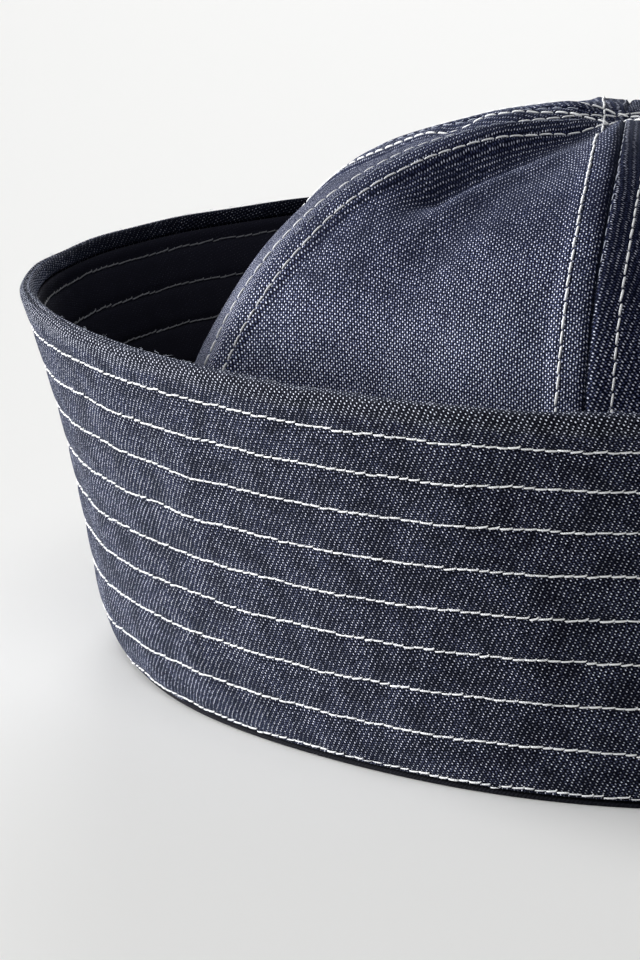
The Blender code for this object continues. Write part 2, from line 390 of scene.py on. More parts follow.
def tubes(name, paths, up, radii, sides, material):
    # one mesh of short threads: paths and up are threads x points x 3, radii is threads x points
    count, steps = paths.shape[:2]
    ahead = unit(np.gradient(paths, axis=1))
    beside = unit(np.cross(ahead, up))
    above = np.cross(beside, ahead)
    angle = math.tau * np.arange(sides) / sides
    cosine, sine = np.cos(angle)[:, None], np.sin(angle)[:, None]
    ring = cosine * beside[:, :, None] + sine * above[:, :, None]
    points = paths[:, :, None] + radii[:, :, None, None] * ring
    index = np.arange(count * steps * sides).reshape(count, steps, sides)
    after = np.roll(index, -1, axis=2)
    quads = np.stack((index[:, :-1], index[:, 1:], after[:, 1:], after[:, :-1]), -1).reshape(-1, 4)
    caps = np.concatenate((index[:, 0], index[:, -1, ::-1]))
    run = np.cumsum(np.linalg.norm(np.diff(paths, axis=1), axis=2), axis=1)
    apart = 7.3  # each stitch shows another stretch of the thread
    run = np.pad(run, ((0, 0), (1, 0))) + apart * np.arange(count)[:, None]
    along = np.broadcast_to(run[:, :, None], (count, steps, sides + 1))
    turn = np.broadcast_to(np.arange(sides + 1) / sides, along.shape)
    grid = np.stack((along, turn), -1)
    quadUv = np.stack((grid[:, :-1, :-1], grid[:, 1:, :-1], grid[:, 1:, 1:], grid[:, :-1, 1:]), -2)
    quadUv = quadUv.reshape(-1, 2)
    capUv = np.concatenate((grid[:, 0, :-1], grid[:, -1, :-1])).reshape(-1, 2)
    faces = quads.tolist() + caps.tolist()
    return meshFrom(name, points.reshape(-1, 3), faces, np.concatenate((quadUv, capUv)), material)


def dress(piece, slot, *nodes):
    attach(piece, "root")
    if nodes:
        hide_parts(*nodes)
    return piece


def threadPiece(name, sewn, sides, material, slot):
    # one piece from the threads of several rows
    paths, up, radii = (np.concatenate(part) for part in zip(*sewn))
    return dress(tubes(name, paths, up, radii, sides, material), slot)


brim = {
    # every 45 degrees from the front: the outer radius at the foot, the wall's mean lean outwards, and
    # how much more than that it leans at the top
    "radius": (99.3, 97.6, 86.9, 97.7, 103.7, 92.0, 90.3, 98.7),
    "lean": (11.3, 13.8, 13.9, 10.6, 9.7, 10.7, 11.1, 10.9),
    "flare": (11.7, 11.2, 1.0, 5.6, 3.4, 10.5, 11.2, 10.9),
    "width": 72.5,  # up the slant
    "middle": 36.0,  # where the grain is laid out from
    "lowEdge": 1.7, "curl": 0.45,
    "ply": 1.4,
    "gap": 0.3,  # between the plies
    # where the foot is drawn in, and the corner that reaches further out
    "tuckAzimuth": 143, "tuckSpread": 28, "tuckDepth": 3.9, "tuckHeight": 14,
    "tipAzimuth": 148, "tipSpread": 14, "tipOut": 0.85, "tipFrom": 44, "tipRise": 28,
    # the stitch rows, up the slant, and how deep and wide they pull the cloth in
    "rows": (66.25, 58.7, 50.8, 42.47, 34.29, 26.31, 18.17, 9.73, 1.75),
    "rowWander": 0.11, "rowTurns": (2, 26),
    "pull": 0.34, "pullWidth": 0.85,
    "puff": 0.12, "puffWidth": 2.6,
    # soft waves: their size, then counts round the cap and up the slant
    "swell": 0.15, "swellTurns": (4, 34), "swellWaves": 1.6,
    "pucker": 0.05, "puckerTurns": (60, 150), "puckerWaves": 5.0, "puckerWidth": 2.2,
    "waveSpan": 72,
    "topWander": 0.13, "topTurns": (5, 30), "topFade": 6,
    # the turned edge behind the fold: in from the back of both plies, down from the top, relief
    "hem": ((0, 2.3, 1.0), (0, 2.8, 1.0), (0.12, 3.05, 0.8), (0.5, 3.2, 0.4)),
    "hemDepth": 3.2,
    # the facing's edge under the fold: out from its back, down from the top, relief
    "facingEdge": ((0.2, 3.6, 0.0), (0.8, 3.45, 0.4), (1.15, 3.5, 0.8)),
    # the crease between the plies along the top, and where in the fold it lies
    "creaseAzimuth": 172, "creaseSpread": 58, "creaseDepth": 0.75, "creaseLeast": 0.06,
    "creaseAngle": 1.62, "creaseWidth": 0.2,
    # how pale the rubbed top is, with a painted highlight along the fold, and how far down, and how dark
    # the painted shade is in the grooves above the rows, in the crease and on the inside
    "rubbedAndShading": 1.85, "rubbedDown": 4.4, "rubbedFade": 2.6,
    "rowShade": 0.3, "rowShadeUp": 0.25, "rowShadeWidth": 0.5,
    "creaseShade": 1.1,
    "insideShade": 0.8, "insideFrom": 1.3, "insideFade": 0.5,
    "darkFrom": 141, "darkTo": 285, "darkFade": 0.4,  # where the inside of the fold isn't rubbed but painted in shade
    # the ring that the cloth is cut from, and where its grain starts
    "cutRadius": 352, "grainStart": 414,
    "steps": 440,
}


def footRadius(azimuth):
    turn = turnFrom(azimuth, brim["tuckAzimuth"])
    tuck = brim["tuckDepth"] * bell(turn, math.radians(brim["tuckSpread"]))
    return around(brim["radius"], azimuth) - tuck, tuck


def tipBulge(azimuth, slant):
    # the top corner at the left of the picture reaches a little further out
    turn = turnFrom(azimuth, brim["tipAzimuth"])
    bulge = brim["tipOut"] * bell(turn, math.radians(brim["tipSpread"]))
    return bulge * smooth((slant - brim["tipFrom"]) / brim["tipRise"])


def brimPoint(azimuth, slant, depth):
    # slant is measured up the brim's outer face, depth inwards from it
    lean = np.radians(around(brim["lean"], azimuth))
    flare = np.radians(around(brim["flare"], azimuth))
    bend = 2 * flare / brim["width"]
    low = lean - flare
    here = low + bend * slant
    out = (np.cos(low) - np.cos(here)) / bend
    up = (np.sin(here) - np.sin(low)) / bend
    foot, tuck = footRadius(azimuth)
    settle = tuck * (1 - np.maximum(0.0, 1 - slant / brim["tuckHeight"]) ** 2)
    out = out + tipBulge(azimuth, slant)
    return place(foot + settle + out - depth * np.cos(here), azimuth, up + depth * np.sin(here))


def brimOutward(azimuth, slant):
    return unit(brimPoint(azimuth, slant, -0.5) - brimPoint(azimuth, slant, 0.5))


def rowHeight(row, azimuth):
    return brim["rows"][row] + brim["rowWander"] * ripple(40 + row, brim["rowTurns"], azimuth)


def brimRelief(azimuth, slant):
    # how far the sewn cloth stands out from the plain brim
    span = brim["waveSpan"]
    relief = brim["swell"] * ripple(7, brim["swellTurns"], azimuth, brim["swellWaves"], slant, span)
    pucker = ripple(8, brim["puckerTurns"], azimuth, brim["puckerWaves"], slant, span)
    for row in range(len(brim["rows"])):
        away = slant - rowHeight(row, azimuth)
        relief = relief - brim["pull"] * bell(away, brim["pullWidth"])
        relief = relief + brim["puff"] * (1 - bell(away, brim["puffWidth"])) - brim["puff"]
        relief = relief + brim["pucker"] * pucker * bell(away, brim["puckerWidth"])
    return relief


def brimWearAndShading(azimuth, slant):
    # paler flecks where the top is rubbed, with a painted highlight along the fold, and painted shade in
    # the stitched grooves
    wearAndShading = brim["rubbedAndShading"] * smooth((slant - brim["width"] + brim["rubbedDown"]) / brim["rubbedFade"])
    for row in range(len(brim["rows"])):
        away = slant - rowHeight(row, azimuth) - brim["rowShadeUp"]
        wearAndShading = wearAndShading - brim["rowShade"] * bell(away, brim["rowShadeWidth"])
    return wearAndShading


def faceHeights(low, high):
    # up the brim: close together beside the stitch rows, wider between them
    near = (-2.4, -1.6, -1.0, -0.5, 0.0, 0.5, 1.0, 1.6, 2.4)
    margin, least, most, step = 0.2, 0.3, 1.3, 1.2
    heights = sorted(row + off for row in brim["rows"] for off in near)
    kept = [low]
    for height in [height for height in heights if low + margin < height < high - margin] + [high]:
        gap = height - kept[-1]
        if gap > most:
            count = int(math.ceil(gap / step))
            kept += [kept[-1] + gap / count * part for part in range(1, count)]
        if height - kept[-1] > least:
            kept.append(height)
    return kept


# A ply's section is a list of depth, slant, relief and crease: relief is how much of the sewn relief a
# place has, outwards if it is negative, and crease how much of the crease between the plies.
def lowerCurl(back):
    ply, curl = brim["ply"], brim["curl"]
    return [(back + ply * (0.5 + 0.5 * math.cos(angle)), brim["lowEdge"] - curl * math.sin(angle), 0.0, 0.0)
            for angle in np.linspace(0.3, math.pi - 0.3, 6)]


def outerProfile():
    # up the outer ply's face, over the fold that covers both plies, down its back and round its lower edge
    ply, width, low = brim["ply"], brim["width"], brim["lowEdge"]
    total = 2 * ply + brim["gap"]
    fold, hem = total / 2, width - brim["hemDepth"]
    profile = [(0.0, slant, -1.0, 0.0) for slant in faceHeights(low, width - fold - 0.3)]
    for angle in np.linspace(0, math.pi, 23):
        crease = bell(angle - brim["creaseAngle"], brim["creaseWidth"])
        profile.append((fold - fold * math.cos(angle), width - fold + fold * math.sin(angle),
                        -math.cos(angle), crease))
    profile += [(total - inwards, width - down, relief, 0.0) for inwards, down, relief in brim["hem"]]
    profile += [(ply + 0.4, hem, 0.0, 0.0), (ply, hem - 0.4, 0.0, 0.0)]
    profile += [(ply, slant, 0.0, 0.0) for slant in np.linspace(width - 9, low + 0.4, 8)]
    return profile + lowerCurl(0.0)


def facingProfile():
    # up the facing's back, over its edge under the fold, down its face and round its lower edge
    ply, width, low = brim["ply"], brim["width"], brim["lowEdge"]
    back = ply + brim["gap"]
    profile = [(back, slant, 0.0, 0.0) for slant in np.linspace(low, width - 3.9, 9)]
    profile += [(back + out, width - down, relief, 0.0) for out, down, relief in brim["facingEdge"]]
    profile += [(back + ply, slant, 1.0, 0.0) for slant in faceHeights(low, width - 3.75)[::-1]]
    return profile + lowerCurl(back)


def makePly(name, profile, material, node):
    azimuth = math.pi + math.tau * np.arange(brim["steps"]) / brim["steps"]
    wander = brim["topWander"] * ripple(11, brim["topTurns"], azimuth)
    creaseShare = bell(turnFrom(azimuth, brim["creaseAzimuth"]), math.radians(brim["creaseSpread"]))
    creaseDepth = brim["creaseLeast"] + brim["creaseDepth"] * creaseShare
    dark = smooth((azimuth % math.tau - math.radians(brim["darkFrom"])) / brim["darkFade"])
    dark = dark * smooth((math.radians(brim["darkTo"]) - azimuth % math.tau) / brim["darkFade"])
    rings, wearAndShading = [], []
    for depth, slant, relief, crease in profile:
        top = smooth((slant - brim["width"] + brim["topFade"]) / brim["topFade"])
        lift = brimRelief(azimuth, slant) * relief
        rings.append(brimPoint(azimuth, slant + wander * top - creaseDepth * crease, depth + lift))
        # painted shade on the inside of the fold where it is dark, and in the crease between the plies
        inside = dark * smooth((depth - brim["insideFrom"]) / brim["insideFade"])
        rubbedAndShading = brimWearAndShading(azimuth, slant) * (1 - inside) - brim["insideShade"] * inside
        wearAndShading.append(rubbedAndShading - brim["creaseShade"] * creaseDepth * crease)
    middle = brimPoint(azimuth, brim["middle"], 0.0)
    run = runAlong(np.concatenate((middle, middle[:1])))
    rise = runAlong(np.array([spot[:2] for spot in profile + profile[:1]]))
    # the brim is cut as a ring of cloth, so its grain turns along it
    turn = (brim["grainStart"] - run[None]) / brim["cutRadius"]
    reach = brim["cutRadius"] + rise[:, None] - brim["middle"]
    uv = np.stack((reach * np.sin(turn), reach * np.cos(turn)), -1)
    return dress(loft(name, np.stack(rings), uv, material, True, True, np.stack(wearAndShading)), "brim_denim", node)


brimThread = {
    "pitch": 2.03,
    "radius": 0.162,
    "sides": 5, "insideSides": 4,
    "sideways": 0.09,  # how far a stitch strays from its row
    "slope": 0.17,  # how much higher its right end is, seen facing the cloth
    "hook": 0.24, "hookVariety": 1.6, "hookShare": 0.12,  # that end turns up to its hole
    "fill": 1.0,  # share of the pitch that shows as thread
    "holeStray": 0.0014,  # in radians round the brim
    "loose": (-0.03, 0.05), "thickness": (0.88, 1.12),
}
# along one stitch: how far the middle of the thread is over the cloth, and how thick it is
stitchTimes = np.array((0.0, 0.1, 0.3, 0.72, 0.92, 1.0))
stitchLift = np.array((-0.03, 0.09, 0.15, 0.16, 0.11, -0.04))
stitchThick = np.array((0.7, 0.92, 1.0, 1.05, 0.92, 0.65))


def holesAlong(path, pitch):
    # evenly spaced places along a path, as shares of its samples
    run = runAlong(path)
    count = max(int(round(run[-1] / pitch)), 1)
    return np.interp(np.linspace(0, run[-1], count + 1), run, np.arange(len(path)) / (len(path) - 1))


def brimRowThreads(row, seed, outside):
    look = brimThread
    rng = np.random.default_rng(seed)
    ring = math.pi + np.linspace(0, math.tau, 1500)
    depth = 0.0 if outside else 2 * brim["ply"] + brim["gap"]
    holes = math.pi + math.tau * holesAlong(brimPoint(ring, brim["rows"][row], depth), look["pitch"])
    holes[1:-1] += rng.normal(0, look["holeStray"], len(holes) - 2)
    first, last = holes[:-1, None], holes[1:, None]
    each = first.shape
    times = stitchTimes[None] if outside else stitchTimes[None, ::-1]
    azimuth = first + (last - first) * (0.5 + look["fill"] * (stitchTimes[None] - 0.5))
    stray = rng.normal(0, look["sideways"], each)
    slope = look["slope"] + rng.normal(0, look["sideways"], each)
    hook = look["hook"] * rng.uniform(0.0, look["hookVariety"], each)
    hook = hook * smooth((look["hookShare"] - times) / look["hookShare"])
    slant = rowHeight(row, azimuth) + stray + slope * (0.5 - times) + hook
    lift = stitchLift[None] + rng.uniform(*look["loose"], each)
    if outside:
        paths = brimPoint(azimuth, slant, -brimRelief(azimuth, slant) - lift)
        up = brimOutward(azimuth, slant)
    else:
        paths = brimPoint(azimuth, slant, depth + brimRelief(azimuth, slant) + lift)
        up = -brimOutward(azimuth, slant)
    radii = look["radius"] * stitchThick[None] * rng.uniform(*look["thickness"], each)
    return paths, up, radii


def makeBrimStitching(name, outside, sides, material):
    seed = 100 if outside else 150
    sewn = [brimRowThreads(row, seed + row, outside) for row in range(len(brim["rows"]))]
    return threadPiece(name, sewn, sides, material, "brim_denim")


fibres = {
    "count": 420, "radius": 0.018, "steps": 6, "sides": 4,
    "length": (0.5, 2.4), "height": (0.05, 0.45), "rooted": 0.1,
    "start": (0.2, 2.6),  # where on the top it starts, in from the outer face
    "arc": (0.55, 1.0),  # how much of an arch it makes
    "lean": 0.8, "wave": 0.15,
    "fold": 1.55, "rimRadius": 105,  # radius of the rounded top, and of the rim
}


def makeFibres(name, material):
    # loose ends of yarn along the top of the brim
    rng = np.random.default_rng(900)
    count, steps, fold = fibres["count"], fibres["steps"], fibres["fold"]
    azimuth = rng.uniform(0, math.tau, (count, 1))
    length = rng.uniform(*fibres["length"], (count, 1))
    height = rng.uniform(*fibres["height"], (count, 1))
    lean, start = rng.uniform(-1, 1, (count, 1)), rng.uniform(*fibres["start"], (count, 1))
    share = np.linspace(0, 1, steps)[None]
    turn = azimuth + length * share / fibres["rimRadius"] * np.sign(rng.uniform(-1, 1, (count, 1)))
    rise = height * np.sin(share * math.pi * rng.uniform(*fibres["arc"], (count, 1))) - fibres["rooted"]
    edge = brim["width"] - fold + np.sqrt(np.maximum(0.01, fold ** 2 - (start - fold) ** 2))
    inwards = start + lean * share * fibres["lean"] + fibres["wave"] * np.sin(9 * share + 7 * lean)
    paths = brimPoint(turn, edge + rise, inwards)
    up = np.broadcast_to(np.array((0.1, 0.2, 0.97)), paths.shape)
    radii = np.full((count, steps), fibres["radius"])
    return dress(tubes(name, paths, up, radii, fibres["sides"], material), "brim_denim")


crown = {
    "depth": 3.6,  # the crown's foot, in from the brim's outer face
    "foot": 1.2,
    "height": 102.0,
    "power": 2.48,  # the dome is a superellipse
    "ovalFade": 1.22,
    "wall": 1.2,
    # each seam's azimuth at the foot and how far it swerves at the apex
    "seams": ((0, 0), (60, -4.5), (126.7, 0.8), (180, -18.5), (240, -4), (300, 3)),
    "swervePower": 6,
    "sag": 7.1, "sagShare": 0.054, "sagPower": 1.2, "sagHeight": 55,  # of a gore between its seams
    "band": 7.5, "bandShare": 0.3, "bandRise": 0.16, "bandFall": 0.34,
    "relief": 0.9, "reliefFade": 30, "fullWidth": 30,  # the raised band beside each seam
    "apexDip": 2.0, "apexSpread": 6,
    # folds between two places seen from above: each one's azimuth and radius, then width and depth
    "folds": ((92, 15, 108, 44, 7.0, 3.2), (80, 18, 99, 46, 5.0, -0.9), (84, 34, 92, 54, 6.5, 1.3),
              (20, 20, 32, 52, 8.0, 1.4), (172, 36, 164, 50, 8.0, 0.6), (196, 12, 216, 22, 7.0, -1.4),
              (206, 42, 200, 60, 8.0, 1.8), (232, 18, 238, 36, 6.0, 1.0), (262, 16, 280, 48, 8.0, 2.4),
              (332, 20, 322, 50, 8.0, 1.6), (128, 5, 118, 19, 4.0, 0.7),
              (80, 20, 107, 43, 3.5, 1.2), (157, 30, 158.5, 34, 3.0, 1.3),
              (150, 20, 155, 28, 3.2, -0.9)),
    # the cloth turns down into each seam, how much at each, and how far each groove is filled
    "rollDepth": 1.05, "rollWidth": 0.62, "narrowRoll": 0.4,
    "rolls": (0.8, 1.0, 0.06, 0.5, 0.7, 0.8),
    "filled": (0.5, 0.5, 0.95, 0.6, 0.5, 0.5),
    "rowAway": 4.7, "rowShare": 0.36, "rowPull": 0.25, "rowWidth": 0.8,
    "swell": 0.28, "swellTurns": (3, 16), "swellWaves": 2.0, "swellFade": 25,
    "pucker": 0.06, "puckerTurns": (2, 9), "puckerWaves": 22, "puckerLean": 0.35,
    "puckerAway": 3.0, "puckerWidth": 2.6,
    "waveSpan": 100,
    # the rolls, rows and waves start at a height and fade where a gore is narrow
    "fineFrom": 28, "fineFade": 8, "fineWidth": 14,
    "edgeSteps": (0, 0.1, 0.22, 0.38, 0.58, 0.8, 1.2, 1.9, 2.5, 3.1,
                  3.6, 4.0, 4.35, 4.7, 5.05, 5.4, 5.9, 6.6, 7.5),
    "edgeShare": 0.38,  # the most of a gore's width that they take
    "innerSteps": 52,
    "rings": 96,
    "lastRise": 89.93,  # rises are angles up the dome, in degrees here
}
meanFoot = float(np.mean(footRadius(math.tau * np.arange(72) / 72)[0])) - crown["depth"]


def seamAzimuth(seam, rise):
    turns, index = divmod(seam, len(crown["seams"]))
    azimuth, swerve = crown["seams"][index]
    return np.radians(azimuth + 360 * turns + swerve * np.sin(rise) ** crown["swervePower"])


def dome(azimuth, rise):
    foot = footRadius(azimuth)[0] - crown["depth"]
    reach = meanFoot + (foot - meanFoot) * np.cos(rise) ** crown["ovalFade"]
    radius = reach * np.cos(rise) ** (2 / crown["power"])
    return radius, crown["foot"] + (crown["height"] - crown["foot"]) * np.sin(rise) ** (2 / crown["power"])


def rowShare(width):
    # where a topstitch row runs across a gore, as a share of the gore's width
    share = crown["rowAway"] / width
    return share / np.hypot(1, (share / crown["rowShare"]) ** 2) ** 0.5


def goreEdges(gore, rise):
    return seamAzimuth(gore, rise), seamAzimuth(gore + 1, rise)


def fromAbove(radius, azimuth):
    return -radius * np.sin(azimuth), -radius * np.cos(azimuth)


def foldDepth(radius, azimuth):
    # how deep the crown's dents are
    x, y = fromAbove(radius, azimuth)
    total = crown["apexDip"] * bell(radius, crown["apexSpread"])
    for azimuthA, radiusA, azimuthB, radiusB, width, depth in crown["folds"]:
        ax, ay = fromAbove(radiusA, math.radians(azimuthA))
        bx, by = fromAbove(radiusB, math.radians(azimuthB))
        bx, by = bx - ax, by - ay
        along = np.clip(((x - ax) * bx + (y - ay) * by) / (bx * bx + by * by), 0, 1)
        total = total + depth * bell(np.hypot(x - ax - along * bx, y - ay - along * by), width)
    return total


def skin(azimuth, rise, depth=0.0, detail=True):
    # the surface of whichever gore lies at each azimuth
    spots = np.zeros(azimuth.shape + (3,))
    for gore in range(-1, 6):
        first, second = goreEdges(gore, rise)
        inside = (azimuth >= first) & (azimuth < second)
        across = np.clip((azimuth - first) / (second - first), 0, 1)
        spots = np.where(inside[..., None], gorePoint(gore, across, rise, depth, detail), spots)
    return spots


def fromSeams(values, gore, across):
    # each seam's value, over the half gore beside it
    return np.where(np.asarray(across) < 0.5, values[gore % len(values)], values[(gore + 1) % len(values)])


def gorePoint(gore, across, rise, depth=0.0, detail=True):
    first, second = goreEdges(gore, rise)
    azimuth = first + across * (second - first)
    radius, height = dome(azimuth, rise)
    width = np.maximum(radius * (second - first), 0.1)
    sag = crown["sag"] * np.sqrt(np.maximum(np.sin(2 * rise), 0)) * smooth(height / crown["sagHeight"])
    sag = sag / np.hypot(1, sag / (crown["sagShare"] * width))
    sag = sag * np.maximum(np.sin(math.pi * across), 0) ** crown["sagPower"]
    away = np.minimum(across, 1 - across) * width
    share = away / np.minimum(crown["band"], crown["bandShare"] * width)
    filled = fromSeams(crown["filled"], gore, across)
    shape = filled + (1 - filled) * smooth(share / crown["bandRise"])
    shape = shape * (1 - smooth((share - 1 + crown["bandFall"]) / crown["bandFall"]))
    shape = shape * smooth(width / crown["fullWidth"])
    shape = shape * smooth((height - crown["foot"]) / crown["reliefFade"])
    lift = crown["relief"] * shape - sag - depth
    lift = lift - foldDepth(radius, azimuth)
    if detail:
        # nothing fine low down, where the band lies close behind the gores
        high = smooth((height - crown["fineFrom"]) / crown["fineFade"])
        small = smooth(width / crown["fineWidth"]) * high
        kept = crown["narrowRoll"] * high + (1 - crown["narrowRoll"]) * small
        roll = crown["rollDepth"] * fromSeams(crown["rolls"], gore, across) * kept
        lift = lift - roll * np.maximum(0, 1 - away / crown["rollWidth"]) ** 2
        lift = lift - crown["rowPull"] * bell(away - rowShare(width) * width, crown["rowWidth"]) * small
        span = crown["waveSpan"]
        wave = ripple(21, crown["swellTurns"], azimuth, crown["swellWaves"], height, span)
        lift = lift + crown["swell"] * wave * smooth(radius / crown["swellFade"]) * high
        slanting = height + crown["puckerLean"] * radius
        wave = ripple(22, crown["puckerTurns"], azimuth, crown["puckerWaves"], slanting, span)
        wave = wave * bell(away - crown["puckerAway"], crown["puckerWidth"])
        lift = lift + crown["pucker"] * wave * small
    return place(radius + lift * np.cos(rise), azimuth, height + lift * np.sin(rise))


def goreColumns(width):
    # places across a gore: close together beside its seams, even between them
    edge = np.array(crown["edgeSteps"])
    edge = edge * np.minimum(1.0, crown["edgeShare"] * width / edge[-1]) / width
    steps = crown["innerSteps"]
    inner = edge[-1] + (1 - 2 * edge[-1]) * np.arange(1, steps) / steps
    return np.concatenate((edge, inner, 1 - edge[::-1]))


def goreRises():
    # rises whose rings lie evenly up the dome, measured at one azimuth
    rise = np.radians(np.linspace(0, crown["lastRise"], 4000))
    run = runAlong(np.stack(dome(0.7, rise), -1))
    return np.interp(np.linspace(0, run[-1], crown["rings"]), run, rise)


# how the grain bends, by the square of the place to the side, by both places, and by the place up the gore
grain = {"middle": 80, "range": (-20, 40),
         "x": (0.00188, -0.00224, 0.00343), "y": (0.00335, 0.00247, -0.00165)}


def goreCloth(side, climb):
    # places on the flat cloth
    climb = climb - grain["middle"]
    bend = np.clip(climb, *grain["range"])
    bends = (side ** 2, side * bend, bend * (2 * climb - bend))
    x = side + sum(share * part for share, part in zip(grain["x"], bends))
    y = climb + sum(share * part for share, part in zip(grain["y"], bends))
    return np.stack(np.broadcast_arrays(x, y), -1)


goreToneAndShade = {
    # paler or darker parts of a gore, seen from outside: how much, from where and over how far. Each gore
    # is paler towards its right, a little darker towards its left and darker towards the apex; near the
    # foot painted light lifts the shade under the brim's rim
    "right": (0.75, -10, 35), "left": (-0.2, 6, 22), "sidesEnd": (1, 84, 16),
    "low": (0.15, 68, 24), "foot": (1.1, 71, 9), "apex": (-0.25, 88, 12),
    # before a seam and after it, by azimuth: how much, how far from it and how wide. The flank before a
    # seam gets a painted highlight, and its groove and the cloth after it get painted shade
    "flank": (0.9, 0.75, 0.4), "groove": (-0.8, 0, 0.3), "after": (-0.6, 0, 0.9),
    "dents": -0.06,  # painted shade in the dents, for each mm of depth
    "rubbedAndShading": (-0.35, -0.03, -0.12, 0, 0, 0),  # painted shade on gores that turn from the lamps: how much paler each gore is
}


def rising(spot, amount, start, length):
    return amount * smooth((spot - start) / length)


def falling(spot, amount, start, length):
    return amount * (1 - smooth((spot - start) / length))


def bySeam(away, amount, centre, width):
    return amount * bell(away - centre, width)


def goreToneAndShading(gore, across, rise, width, climb):
    # how much paler the cloth is, as painted light and shade: the flank before a seam catches the light,
    # and its groove is dark
    look = goreToneAndShade
    side, away = (0.5 - across) * width, np.minimum(across, 1 - across) * width
    wearAndShading = rising(side, *look["right"]) + rising(-side, *look["left"])
    wearAndShading = wearAndShading * falling(climb, *look["sidesEnd"])
    wearAndShading = wearAndShading + falling(climb, *look["low"]) + falling(climb, *look["foot"])
    wearAndShading = wearAndShading + rising(climb, *look["apex"])
    before = bySeam(away, *look["flank"]) + bySeam(away, *look["groove"])
    near = np.where(across > 0.5, before, bySeam(away, *look["after"]))
    wearAndShading = wearAndShading + near * fromSeams(crown["rolls"], gore, across)
    first, second = goreEdges(gore, rise)
    azimuth = first + across * (second - first)
    dents = foldDepth(dome(azimuth, rise)[0], azimuth)
    return wearAndShading + look["dents"] * np.maximum(dents, 0) + look["rubbedAndShading"][gore]


def makeGore(gore, material):
    rises = goreRises()
    rings, uvRows, wearAndShading = [], [], []
    climbs = runAlong(gorePoint(gore, 0.5, rises, 0.0, False))
    for rise, climb in zip(rises, climbs):
        first, second = goreEdges(gore, rise)
        width = float(dome((first + second) / 2, rise)[0] * (second - first))
        across = goreColumns(width)
        rings.append(gorePoint(gore, across, np.full(across.shape, rise)))
        uvRows.append(goreCloth((0.5 - across) * width, climb))
        wearAndShading.append(goreToneAndShading(gore, across, rise, width, climb))
    name = f"crownGore{gore + 1}"
    piece = loft(name, np.stack(rings), np.stack(uvRows), material, wearAndShading=np.stack(wearAndShading))
    wall = piece.modifiers.new("wall", "SOLIDIFY")
    wall.thickness = crown["wall"] * mm
    wall.offset = -1
    return dress(piece, "crown_denim", f"crown_gore_{gore + 1}")


crownThread = {
    "pitch": 2.75, "radius": 0.205, "sides": 5,
    "sideways": 0.05, "slope": 0.13, "fill": 0.84,
    "loose": (-0.02, 0.05), "thickness": (0.9, 1.1),
    "lowest": 1.2, "highest": 89.0,  # the rises that it starts and ends at, in degrees
    "apexReach": 14.0,  # a row leaves its gore this far from the crown's axis
}
seamThread = {
    **crownThread,
    "pitch": 3.0, "radius": 0.085, "slope": 0.1, "fill": 0.62,
    "away": 0.5, "lowest": 50.0, "highest": 87.0,
}


def goreRow(seam, side):
    # the topstitch row on one side of a seam, from the foot to near the apex
    rise = np.radians(np.linspace(crownThread["lowest"], crownThread["highest"], 700))
    gore = seam if side > 0 else seam - 1
    first, second = goreEdges(gore, rise)
    width = dome(first if side > 0 else second, rise)[0] * (second - first)
    share = rowShare(width)
    across = share if side > 0 else 1 - share
    radius = dome(first + across * (second - first), rise)[0]
    keep = (radius > crownThread["apexReach"]) & (share < 0.5)
    return gorePoint(gore, across[keep], rise[keep])


def crownAt(x, y):
    # the sewn surface over a place seen from above, measured from the crown's axis
    azimuth = np.arctan2(-x, -y) % math.tau
    reach = np.hypot(x, y)
    low, high = np.zeros_like(reach), np.full_like(reach, math.radians(crown["lastRise"]))
    for _ in range(40):
        rise = (low + high) / 2
        outside = dome(azimuth, rise)[0] > reach
        low, high = np.where(outside, rise, low), np.where(outside, high, rise)
    return skin(azimuth, rise)


def bridge(start, end):
    # over the apex, between the ends of two rows: a smooth run seen from above, laid on the surface
    share = np.linspace(0, 1, 60)[1:-1, None]
    a, b = start[-1, :2], end[-1, :2]
    span = np.linalg.norm(b - a)
    leaveA = unit(start[-1, :2] - start[-6, :2]) * span
    leaveB = unit(end[-6, :2] - end[-1, :2]) * span
    flat = ((2 * share ** 3 - 3 * share ** 2 + 1) * a + (share ** 3 - 2 * share ** 2 + share) * leaveA
            + (3 * share ** 2 - 2 * share ** 3) * b + (share ** 3 - share ** 2) * leaveB)
    return crownAt(flat[:, 0] - headAxis[0], flat[:, 1] - headAxis[1])


def surfaceUp(path):
    # outwards from a point deep inside the crown
    centre = np.array((*headAxis, 20.0))
    return unit(path - centre)


def stitchesOn(path, look, seed):
    rng = np.random.default_rng(seed)
    holes = holesAlong(path, look["pitch"])
    first, last = holes[:-1, None], holes[1:, None]
    each = first.shape
    share = first + (last - first) * (0.5 + look["fill"] * (stitchTimes[None] - 0.5))
    index = np.arange(len(path)) / (len(path) - 1)
    paths = np.stack([np.interp(share, index, path[:, axis]) for axis in range(3)], -1)
    up = surfaceUp(paths)
    beside = np.cross(unit(np.gradient(paths, axis=1)), up)
    slope = look["slope"] + rng.normal(0, look["sideways"], each)
    stray = rng.normal(0, look["sideways"], each) + slope * (stitchTimes - 0.5)
    lift = stitchLift[None] + rng.uniform(*look["loose"], each)
    paths = paths + beside * stray[..., None] + up * lift[..., None]
    radii = look["radius"] * stitchThick[None] * rng.uniform(*look["thickness"], each)
    return paths, up, radii


def makeCrownStitching(name, material):
    sewn = []
    for seam in range(3):
        for side in (1, -1):
            start, end = goreRow(seam, side), goreRow(seam + 3, -side)
            path = np.concatenate((start, bridge(start, end), end[::-1]))
            sewn.append(stitchesOn(path, crownThread, 300 + 10 * seam + side))
    return threadPiece(name, sewn, crownThread["sides"], material, "crown_denim")


